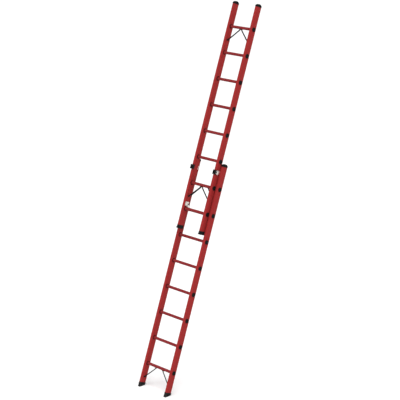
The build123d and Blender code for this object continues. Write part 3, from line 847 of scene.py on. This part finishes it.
# %% Feet
SHOE_WALL, SHOE_SKIRT, SHOE_CORNER = 1.65 * MM, 15 * MM, 5.5 * MM
RIB_GROOVES, RIB_HALF, RIB_DEPTH = 5, 1.1 * MM, 0.8 * MM
SOLE_LIFT = 0.03 * MM
TREAD_GROOVES = 8
TREAD_WIDTH, TREAD_DEPTH = 3.2 * MM, 3.0 * MM
FLOOR_UP = Vector((0, -sin(LEAN), cos(LEAN)))


def shoe():
    """The right-hand shoe."""
    low, high = upright_box("foot_shoe_right")
    stile = stile_box["base", "right"]
    rubber = block("base_right_foot_shoe", low, (high.x, high.y, stile[0].z + SHOE_SKIRT))
    round_edges(rubber, along(2), SHOE_CORNER, 8)
    activate(rubber)
    bpy.ops.object.mode_set(mode="EDIT")
    bpy.ops.mesh.select_all(action="SELECT")
    bpy.ops.mesh.bisect(plane_co=(0, 0, SOLE_LIFT), plane_no=FLOOR_UP, clear_inner=True, use_fill=True)
    leave()
    pick(rubber, "face", facing(2, 1))
    bpy.ops.mesh.inset(thickness=SHOE_WALL)
    bpy.ops.transform.translate(value=(0, 0, -SHOE_SKIRT))
    leave()
    length = (high.y - low.y) / cos(LEAN)
    centre_y = (high.y + low.y) / 2 / cos(LEAN)
    grooves = []
    for index in range(TREAD_GROOVES):
        across = centre_y + length * ((index + 1) / (TREAD_GROOVES + 1) - 0.5)
        if abs(across) < TREAD_WIDTH:
            continue
        bar = block("tread", (low.x - 5 * MM, across - TREAD_WIDTH / 2, -TREAD_DEPTH),
                    (high.x + 5 * MM, across + TREAD_WIDTH / 2, TREAD_DEPTH))
        bar.data.transform(UPRIGHT)
        grooves.append(bar)
    rubber = combine(rubber, joined("treads", grooves))
    ribs = []
    bottom, top = stile[0].z - SHOE_SKIRT, stile[0].z - MM
    for index in range(RIB_GROOVES):
        at = low.y + (high.y - low.y) * (index + 1) / (RIB_GROOVES + 1)
        for inside, outside in ((low.x + RIB_DEPTH, low.x - MM), (high.x - RIB_DEPTH, high.x + MM)):
            ribs.append(block("rib", (min(inside, outside), at - RIB_HALF, bottom),
                              (max(inside, outside), at + RIB_HALF, top)))
    rubber = combine(rubber, joined("ribs", ribs))
    return soften(rubber, 0.5 * MM, 2, 40)


right = shoe()
left = flipped(right, "base_left_foot_shoe")
fit(right, RUBBER, "base", "foot_rubber", "foot_shoe_right")
fit(left, RUBBER, "base", "foot_rubber", "foot_shoe_left")
print("shoe", len(right.data.polygons), "faces")

# %% [markdown]
# ## Struts
# Short struts steady the lowest and the highest rungs. Each is a steel bar whose top is pressed
# flat into a tab and bolted up into the rung, with a small saddle between the flat tab and the
# round rung. Its foot is welded to a plate. The right-hand strut is made, the left mirrored.

# %% Strut sizes
TAB_LONG, TAB_WIDE, TAB_T, TAB_END = 23.0 * MM, 14.0 * MM, 4.0 * MM, 7.0 * MM
SADDLE_LONG, SADDLE_T, SADDLE_WRAP = 14.0 * MM, 2.5 * MM, 2.5 * MM
PLATE_T, PLATE_TALL = 3.0 * MM, 14.0 * MM
BOLT_R, BOLT_HEAD_R, BOLT_HEAD_T, BOLT_ROOM = 2.5 * MM, 4.5 * MM, 2.5 * MM, 2.0 * MM
BAR_R, LOW_BAR_R = 6.5 * MM, 5.2 * MM
STRUTS = {"base_bottom_strut": ("base", 1, LOW_BAR_R), "base_top_strut": ("base", RUNGS, BAR_R),
          "fly_second_strut": ("fly", 2, BAR_R), "fly_top_strut": ("fly", RUNGS, BAR_R)}


def strut_points(name):
    """The bolt's place at the tab's top and the foot of a right-hand strut, upright."""
    section, level, radius = STRUTS[name]
    low, high = upright_box(f"{name}_right")
    rung = middle(rung_box[section, level])
    bolt = Vector((low.x + TAB_END, rung.y, rung.z - RUNG_R - SADDLE_T))
    foot = Vector((high.x, rung.y, low.z + PLATE_TALL / 2))
    return bolt, foot


for name in STRUTS:
    print(name, [tuple(round(x, 4) for x in point) for point in strut_points(name)])


# %% Struts
def strut(name):
    """The right-hand strut: bar, pressed tab with its hole, and foot plate."""
    section, level, radius = STRUTS[name]
    bolt, foot = strut_points(name)
    start = bolt - Vector((0, 0, TAB_T / 2))
    run = (foot - start).normalized()
    bar = barrel("bar", radius, start, foot - run * PLATE_T * 0.5, 28)
    above = block("above", (bolt.x - 0.1, bolt.y - 0.1, bolt.z), (bolt.x + 0.1, bolt.y + 0.1, bolt.z + 0.1))
    bar = combine(bar, above)
    room = bolt.x + BOLT_HEAD_R + BOLT_ROOM
    bar = combine(bar, block("room", (room - 0.1, bolt.y - 0.1, bolt.z - 0.1), (room, bolt.y + 0.1, bolt.z + 0.1)))
    tab = block("tab", (bolt.x - TAB_END, bolt.y - TAB_WIDE / 2, bolt.z - TAB_T),
                (bolt.x - TAB_END + TAB_LONG, bolt.y + TAB_WIDE / 2, bolt.z))
    round_edges(tab, along(2), 5.0 * MM, 6)
    bar = combine(bar, tab, "UNION")
    low, high = upright_box(f"{name}_right")
    plate = block("plate", (foot.x - PLATE_T, low.y, foot.z - PLATE_TALL / 2),
                  (foot.x, high.y, foot.z + PLATE_TALL / 2))
    round_edges(plate, along(0), 3.2 * MM, 5)
    bar = combine(bar, plate, "UNION")
    reach = Vector((0, 0, 5 * TAB_T))
    bar = combine(bar, barrel("hole", BOLT_R + 0.1 * MM, bolt - reach, bolt + reach, 20))
    bar.name = f"{name}_bar_right"
    return soften(bar, 0.35 * MM, 2, 40)


def saddle(section, level, spread):
    """A seat under the rung, hollowed to the rung's radius."""
    rung = middle(rung_box[section, level])
    bottom = rung.z - RUNG_R - SADDLE_T
    half = SADDLE_LONG / 2
    seat = block("saddle", (spread - half, rung.y - half, bottom),
                 (spread + half, rung.y + half, bottom + SADDLE_T + SADDLE_WRAP))
    round_edges(seat, along(2), 2.0 * MM, 4)
    seat = combine(seat, across(RUNG_R + 0.1 * MM, rung.y, rung.z, spread - 2 * half, spread + 2 * half,
                                "seat", 72))
    return soften(seat, 0.3 * MM, 2, 40)


def strut_bolt(bolt):
    """Hexagon head and washer under the tab, and the shank up into the rung."""
    under = bolt.z - TAB_T

    def part(name, radius, low, high, sides):
        return barrel(name, radius, (bolt.x, bolt.y, low), (bolt.x, bolt.y, high), sides)

    pieces = [part("washer", BOLT_HEAD_R, under - 0.6 * MM, under, 28),
              part("head", BOLT_HEAD_R * 0.97, under - BOLT_HEAD_T, under - 0.6 * MM, 6),
              part("shank", BOLT_R, under, under + 11 * MM, 16)]
    return joined("bolt", [soften(piece, 0.25 * MM, 2, 40) for piece in pieces])


def domed_rivet(x, y, z, sign=-1, radius=4.6 * MM, height=1.4 * MM):
    """A rivet head on a face that looks along X; sign is the way it looks."""
    head = barrel("rivet", radius, (x, y, z), (x + sign * height * 0.45, y, z), 24)
    for inset, lift in ((0.16, 0.62), (0.22, 0.38)):
        pick(head, "face", facing(0, sign))
        bpy.ops.mesh.inset(thickness=radius * inset)
        bpy.ops.transform.translate(value=(sign * height * 0.55 * lift, 0, 0))
        leave()
    pick(head, "face", facing(0, sign))
    bpy.ops.mesh.inset(thickness=radius * 0.16)
    bpy.ops.transform.translate(value=(-sign * height * 0.25, 0, 0))
    leave()
    return head


for name, (section, level, radius) in STRUTS.items():
    right = strut(name)
    left = flipped(right, f"{name}_bar_left")
    fit(right, COATED, section, "black_steel", f"{name}_right")
    fit(left, COATED, section, "black_steel", f"{name}_left")

for section in SECTIONS:
    seats, fixings = [], []
    for name, (owner, level, radius) in STRUTS.items():
        if owner != section:
            continue
        bolt, foot = strut_points(name)
        low, high = upright_box(f"{name}_right")
        seats.append(saddle(section, level, bolt.x))
        fixings.append(strut_bolt(bolt))
        for side in (-1, 1):
            fixings.append(domed_rivet(foot.x - PLATE_T, foot.y + side * (high.y - low.y) / 3, foot.z))
    seats += [flipped(seat, "twin") for seat in seats]
    fixings += [flipped(fixing, "twin") for fixing in fixings]
    fit(joined(f"{section}_rung_saddles", seats), COATED, section, "black_steel",
        f"{section}_strut_saddles")
    fit(joined(f"{section}_strut_bolts_and_rivets", fixings), BLACKENED, section, "fastener_steel",
        f"{section}_strut_fasteners")
print("struts", len(right.data.polygons), "faces each")

# %% [markdown]
# ## Guides
# At the top of the base a zinc strap runs forward past the fly on each side. A black block
# screwed to its end wraps the fly's front edge, so that the fly can slide but not leave.

# %% Guides
LUMP = 10.0 * MM
SLIDE_FIT = 0.6 * MM


def node_places(node, axis_low, side=1):
    """Middles of the separate lumps of a node on one side, as upright points."""
    source = frame["nodes"][node]
    points = [UPRIGHT @ vertex.co for vertex in source.data.vertices]
    points = [p for p in points if p.x * side > 0]
    lumps = []
    for p in points:
        for lump in lumps:
            if abs(lump[0].y - p.y) < axis_low and abs(lump[0].z - p.z) < axis_low:
                lump.append(p)
                break
        else:
            lumps.append([p])
    return [((min(p.x for p in lump) + max(p.x for p in lump)) / 2,
             (min(p.y for p in lump) + max(p.y for p in lump)) / 2,
             (min(p.z for p in lump) + max(p.z for p in lump)) / 2) for lump in lumps]


def guide_strap():
    """The right-hand strap, bevelled."""
    low, high = upright_box("guide_strap_right")
    strap = block("guide_strap_bar_right", low, high)
    back = high.y
    round_edges(strap, lambda e: along(0)(e) and all(abs(v.co.y - back) < 1e-6 for v in e.verts), 8 * MM, 8)
    return soften(strap, 0.4 * MM, 2)


def guide_block():
    """The right-hand block: a U with grooved front and a slot for the strap."""
    low, high = upright_box("guide_block_right")
    fly_low, fly_high = stile_box["fly", "right"]
    body = block("guide_block_body_right", low, high)
    front = low.y
    round_edges(body, lambda e: all(abs(v.co.y - front) < 1e-6 for v in e.verts), 3.5 * MM, 5)
    grooves = []
    for step in (-0.3, -0.1, 0.1, 0.3):
        height = (low.z + high.z) / 2 + step * (high.z - low.z)
        grooves.append(block("groove", (low.x + 5 * MM, front - 5 * MM, height - 1.3 * MM),
                             (high.x - 5 * MM, front + 1.4 * MM, height + 1.3 * MM)))
    body = combine(body, joined("grooves", grooves))
    channel = block("channel", (fly_low.x - SLIDE_FIT, fly_low.y - SLIDE_FIT, low.z - 20 * MM),
                    (fly_high.x + SLIDE_FIT, high.y + 20 * MM, high.z + 20 * MM))
    round_edges(channel, along(2), CORNER + SLIDE_FIT, 8)
    body = combine(body, channel)
    strap_low, strap_high = upright_box("guide_strap_right")
    slot = block("slot", (strap_low.x - 0.05 * MM, strap_low.y, strap_low.z - 0.05 * MM),
                 (strap_high.x + 0.05 * MM, strap_high.y, strap_high.z + 0.05 * MM))
    return soften(combine(body, slot), 0.5 * MM, 2, 40)


def button_screw(x, y, z):
    """A button head with a hexagon socket, on a face that looks along +X."""
    head = domed_rivet(x, y, z, 1, 4.6 * MM, 2.2 * MM)
    socket = barrel("socket", 1.7 * MM, (x + 0.9 * MM, y, z), (x + 4 * MM, y, z), 6)
    return combine(head, socket)


def set_rivet(x, y, z):
    """The face of a flush rivet: a shallow dished disc that stands just proud of its plate."""
    head = barrel("set_rivet", 2.4 * MM, (x + 1.5 * MM, y, z), (x - 0.12 * MM, y, z), 20)
    pick(head, "face", facing(0, -1))
    bpy.ops.mesh.inset(thickness=0.9 * MM)
    bpy.ops.transform.translate(value=(0.35 * MM, 0, 0))
    leave()
    return head


for maker, material, slot, node in ((guide_strap, BRIGHT, "bright_metal", "guide_strap"),
                                    (guide_block, BLACK_PLASTIC, "black_plastic", "guide_block")):
    right = maker()
    left = flipped(right, right.name.replace("_right", "_left"))
    fit(right, material, "base", slot, f"{node}_right")
    fit(left, material, "base", slot, f"{node}_left")
block_high = upright_box("guide_block_right")[1]
screws = [button_screw(block_high.x, y, z) for x, y, z in node_places("guide_block_screws", LUMP)]
screws += [flipped(screw, "twin") for screw in screws]
fit(joined("guide_button_screws", screws), PLATED, "base", "fastener_steel", "guide_block_screws")
strap_low = upright_box("guide_strap_right")[0]
rivets = [set_rivet(strap_low.x, y, z) for x, y, z in node_places("guide_strap_rivets", LUMP)]
rivets += [flipped(rivet, "twin") for rivet in rivets]
fit(joined("guide_set_rivets", rivets), PLATED, "base", "fastener_steel", "guide_strap_rivets")
print("guides,", len(screws), "screws and", len(rivets), "rivets")

# %% [markdown]
# ## Hooks
# A hook is cut from thick plate: a boss at the pivot, an arm, and a mouth over a rung of the
# base. The mouth opens along an arc about the pivot, so the hook lifts off without jamming.
# The outline is the hull of two circles; booleans then cut the mouth, the arc and the eye.

# %% Hooks
HOOK_BOSS_R = 13.0 * MM
HOOK_SEAT = 0.4 * MM
PIN_R = 4.0 * MM
hook_low, hook_high = upright_box("hook_right")
hook_joint = joints["hook_right_swing"]
PIVOT = UPRIGHT @ Vector(hook_joint["pos_m"])
SEAT = middle(rung_box["base", RUNGS - 1])
MOUTH_R = RUNG_R + HOOK_SEAT
EYE_RIM = hook_high.y - SEAT.y
ARM = Vector((0, SEAT.y - PIVOT.y, SEAT.z - PIVOT.z))


def hook():
    """The right-hand hook."""
    low, high = hook_low.x, hook_high.x
    plate = across(EYE_RIM, SEAT.y, SEAT.z, low, high, "hook", 96)
    boss = across(HOOK_BOSS_R, PIVOT.y, PIVOT.z, low, high, "boss", 72)
    plate = joined("hook", [plate, boss])
    activate(plate)
    bpy.ops.object.mode_set(mode="EDIT")
    bpy.ops.mesh.select_all(action="SELECT")
    bpy.ops.mesh.convex_hull()
    leave()
    far, near = ARM.length + MOUTH_R, ARM.length - MOUTH_R
    arc = across(far, PIVOT.y, PIVOT.z, low - 5 * MM, high + 5 * MM, "arc", 160)
    arc = combine(arc, across(near, PIVOT.y, PIVOT.z, low - 9 * MM, high + 9 * MM, "core", 160))
    side = ARM.cross(Vector((1, 0, 0))).normalized()
    activate(arc)
    bpy.ops.object.mode_set(mode="EDIT")
    bpy.ops.mesh.select_all(action="SELECT")
    bpy.ops.mesh.bisect(plane_co=PIVOT, plane_no=side, clear_outer=True, use_fill=True)
    leave()
    plate = combine(plate, arc)
    plate = combine(plate, across(MOUTH_R, SEAT.y, SEAT.z, low - 5 * MM, high + 5 * MM, "mouth", 96))
    collar_at = middle(rung_box["fly", 1])
    plate = combine(plate, across(COLLAR_R + 3 * MM, collar_at.y, collar_at.z, low - 5 * MM, high + 5 * MM,
                                  "relief", 96))
    eye = across(PIN_R + 0.06 * MM, PIVOT.y, PIVOT.z, low - 5 * MM, high + 5 * MM, "eye", 40)
    plate = combine(plate, eye)
    plate.name = "hook_blade_right"
    return soften(plate, 0.7 * MM, 3, 50)


right = hook()
left = flipped(right, "hook_blade_left")
fit(right, BRIGHT, "hook_right", "bright_metal", "hook_right")
fit(left, BRIGHT, "hook_left", "bright_metal", "hook_left")
print("hook", len(right.data.polygons), "faces, arm", round(ARM.length, 4))


# %% Hook plates, pins, and black grips as painted shadow
def hook_plate():
    """A pressed plate on the stile's inner face, with a hole at the pivot."""
    low, high = upright_box("hook_plate_right")
    plate = block("hook_mount_plate_right", low, high)
    round_edges(plate, along(0), 6 * MM, 6)
    hole = across(PIN_R + 0.06 * MM, PIVOT.y, PIVOT.z, low.x - 5 * MM, high.x + 5 * MM, "hole", 40)
    return soften(combine(plate, hole), 0.5 * MM, 2, 40)


def hook_pin():
    """A shoulder pin: domed head with a dimple, shank, and the set tail inside the stile."""
    low, high = upright_box("hook_pins")
    head = domed_rivet(hook_low.x - 0.4 * MM, PIVOT.y, PIVOT.z, -1, 7.5 * MM, 3.4 * MM)
    shank = across(PIN_R, PIVOT.y, PIVOT.z, hook_low.x - 0.6 * MM, high.x, "shank", 32)
    tail = across(PIN_R * 1.7, PIVOT.y, PIVOT.z, high.x - 5 * MM, high.x - 1 * MM, "tail", 32)
    return joined("hook_pin", [head, shank, soften(tail, 0.5 * MM, 2)])


def painted_shadow_grip():
    """A black thumb grip pushed over the hook's edge, with finger ribs on its upper face: a dark piece put where
    the hook's shadow falls, as painted shadow.
    """
    low, high = upright_box("hook_grip_right")
    grip = block("hook_thumb_grip_right", low, high)
    round_edges(grip, along(0), 3 * MM, 6)
    ribs = []
    for step in (-0.28, -0.1, 0.08, 0.26):
        y = (low.y + high.y) / 2 + step * (high.y - low.y)
        ribs.append(block("rib", (low.x - MM, y - 0.6 * MM, high.z - 0.9 * MM),
                          (high.x + MM, y + 0.6 * MM, high.z + MM)))
    grip = combine(grip, joined("ribs", ribs))
    hull = across(HOOK_BOSS_R + 0.05 * MM, PIVOT.y, PIVOT.z, hook_low.x, hook_high.x + MM, "seat", 72)
    grip = combine(grip, hull)
    return soften(grip, 0.4 * MM, 2, 40)


right = hook_plate()
left = flipped(right, "hook_mount_plate_left")
fit(right, BRIGHT, "fly", "bright_metal", "hook_plate_right")
fit(left, BRIGHT, "fly", "bright_metal", "hook_plate_left")
pin = hook_pin()
fit(joined("hook_shoulder_pins", [pin, flipped(pin, "twin")]), PLATED, "fly", "fastener_steel", "hook_pins")
plate_low = upright_box("hook_plate_right")[0]
rivets = [set_rivet(plate_low.x, y, z) for x, y, z in node_places("hook_plate_rivets", LUMP)]
rivets += [flipped(rivet, "twin") for rivet in rivets]
fit(joined("hook_set_rivets", rivets), PLATED, "fly", "fastener_steel", "hook_plate_rivets")
# Painted shadow: the black grips sit where the hook's shadow falls.
right = painted_shadow_grip()
left = flipped(right, "hook_thumb_grip_left")
fit(right, SHADOW_GRIP_BLACK, "hook_right", "black_plastic", "hook_grip_right")
fit(left, SHADOW_GRIP_BLACK, "hook_left", "black_plastic", "hook_grip_left")

# %% Shoe rivets
seat = upright_box("foot_shoe_right")[1].x
rivets = [domed_rivet(seat, y, z, 1) for x, y, z in node_places("foot_rivets", LUMP)]
rivets += [flipped(rivet, "twin") for rivet in rivets]
fit(joined("foot_domed_rivets", rivets), BLACKENED, "base", "fastener_steel", "foot_rivets")
print("fasteners done;", len(made), "pieces in all")

# %% [markdown]
# ## Camera, floor and light
# A long lens from the front right, a pale floor, and large soft lights. The lens and the
# distance are those of a studio product shot, so the ladder hardly tapers.

# %% Camera
AZIMUTH, ELEVATION = radians(45.17), radians(15.98)
DISTANCE = 14.42
LENS = 124.8
ACROSS, ABOVE = 0.0474, 0.1177


def place_camera():
    """Looks at the fly's lowest rung from the front right, a little above it."""
    aim = LEANED @ middle(rung_box["fly", 1])
    back = Vector((sin(AZIMUTH) * cos(ELEVATION), -cos(AZIMUTH) * cos(ELEVATION), sin(ELEVATION)))
    rightward = Vector((cos(AZIMUTH), sin(AZIMUTH), 0))
    upward = back.cross(rightward)
    data = bpy.data.cameras.new("studio_camera")
    data.lens = LENS
    data.clip_end = 100
    camera = bpy.data.objects.new("studio_camera", data)
    bpy.context.scene.collection.objects.link(camera)
    camera.rotation_mode = "QUATERNION"
    camera.rotation_quaternion = (-back).to_track_quat("-Z", "Y")
    camera.location = aim + back * DISTANCE + rightward * ACROSS + upward * ABOVE
    bpy.context.scene.camera = camera
    return camera


camera = place_camera()
print("camera at", [round(x, 2) for x in camera.location])


# %% Floor and light
def floor_finish():
    """Pale, very slightly mottled paper."""
    material = bpy.data.materials.new("pale_floor")
    material.use_nodes = True
    tree = material.node_tree
    shader = tree.nodes["Principled BSDF"]
    place = tree.nodes.new("ShaderNodeTexCoord")
    mottle = noise(tree, place.outputs["Object"], 1.5, 3.0, 0.5)
    wire(tree, blend_colour(tree, mottle.outputs["Fac"], (0.93, 0.93, 0.93), (0.95, 0.95, 0.95)),
         shader.inputs["Base Color"])
    shader.inputs["Roughness"].default_value = 0.9
    return material


def soft_light(name, place, aim, size, power):
    """A square area light."""
    data = bpy.data.lights.new(name, "AREA")
    data.size = size
    data.energy = power
    light = bpy.data.objects.new(name, data)
    bpy.context.scene.collection.objects.link(light)
    light.location = place
    light.rotation_mode = "QUATERNION"
    light.rotation_quaternion = (Vector(aim) - Vector(place)).to_track_quat("-Z", "Y")
    return light


bpy.ops.object.select_all(action="DESELECT")
bpy.ops.mesh.primitive_plane_add(size=120, location=(0, 0, 0))
ground = bpy.context.active_object
ground.name = "pale_floor"
ground.data.materials.append(floor_finish())
half_way = (cad_low + cad_high) / 2
soft_light("key_light", (5.0, -4.5, 6.5), half_way, 4.0, 60)
soft_light("rim_light", (2.5, 6.0, 6.0), half_way, 4.0, 60)
sky_light = bpy.data.lights.new("sky_light", "SUN")
sky_light.angle = radians(70)
sky_light.energy = 2.6
sky = bpy.data.objects.new("sky_light", sky_light)
bpy.context.scene.collection.objects.link(sky)
sky.rotation_euler = (radians(18), radians(10), 0)
bpy.context.scene.view_settings.view_transform = "Standard"
world = bpy.data.worlds.new("studio")
world.use_nodes = True
world.node_tree.nodes["Background"].inputs["Color"].default_value = (1, 1, 1, 1)
world.node_tree.nodes["Background"].inputs["Strength"].default_value = 0.42
bpy.context.scene.world = world
print("lights and floor in place;", len(made), "pieces made")
